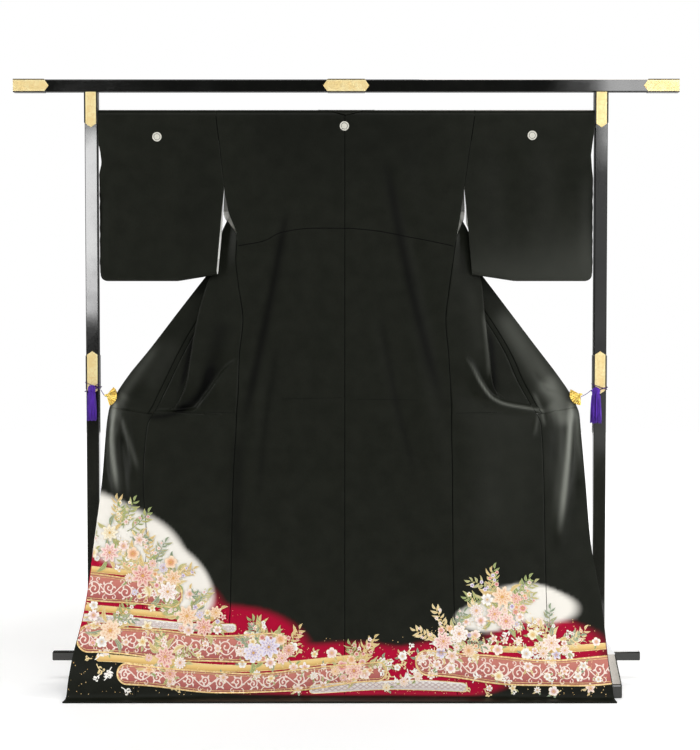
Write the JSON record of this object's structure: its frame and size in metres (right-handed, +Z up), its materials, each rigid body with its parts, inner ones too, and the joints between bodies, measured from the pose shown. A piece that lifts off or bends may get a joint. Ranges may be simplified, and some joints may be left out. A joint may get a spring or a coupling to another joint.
{
  "type": "black formal kimono on a lacquered kimono stand",
  "caption": "Formal black kimono draped over a stand's rod and seen from the back, its fronts opened out and held by fan-shaped clips, with the padded hem spread to the floor.",
  "frame": {"origin": "on the floor under the middle of the whole, halfway between its nearest and farthest points", "axes": "+X along the top bar to the viewer's right of the back view, +Y away from that viewer, +Z up"},
  "size_m": [1.8506, 0.531, 1.6893],
  "materials": {
    "black_crepe": "matte silk crepe",
    "white_silk": "satin lining",
    "black_lacquer": "glossy black lacquer",
    "pale_gilt": "pale gilt, satin",
    "gold": "gold, polished",
    "purple_silk": "silk cord"
  },
  "bodies": {
    "root": {"bar_centre": "pale_gilt", "bar_end_left": "pale_gilt", "bar_end_right": "pale_gilt", "body_left": "black_crepe", "body_right": "black_crepe", "clip_tie_left": "purple_silk", "clip_tie_right": "purple_silk", "collar": "black_crepe", "fan_clip_left": "gold", "fan_clip_right": "gold", "foot_left": "black_lacquer", "foot_right": "black_lacquer", "front_lining_left": "white_silk", "front_lining_right": "white_silk", "hanging_rod": "black_lacquer", "lower_rail": "black_lacquer", "okumi_left": "black_crepe", "okumi_right": "black_crepe", "post_cord_left": "purple_silk", "post_cord_right": "purple_silk", "post_left": "black_lacquer", "post_mid_left": "pale_gilt", "post_mid_right": "pale_gilt", "post_right": "black_lacquer", "post_top_left": "pale_gilt", "post_top_right": "pale_gilt", "sleeve_left": "black_crepe", "sleeve_lining_left": "white_silk", "sleeve_lining_right": "white_silk", "sleeve_right": "black_crepe", "tassel_left": "purple_silk", "tassel_right": "purple_silk", "top_bar": "black_lacquer"}
  },
  "joints": []
}
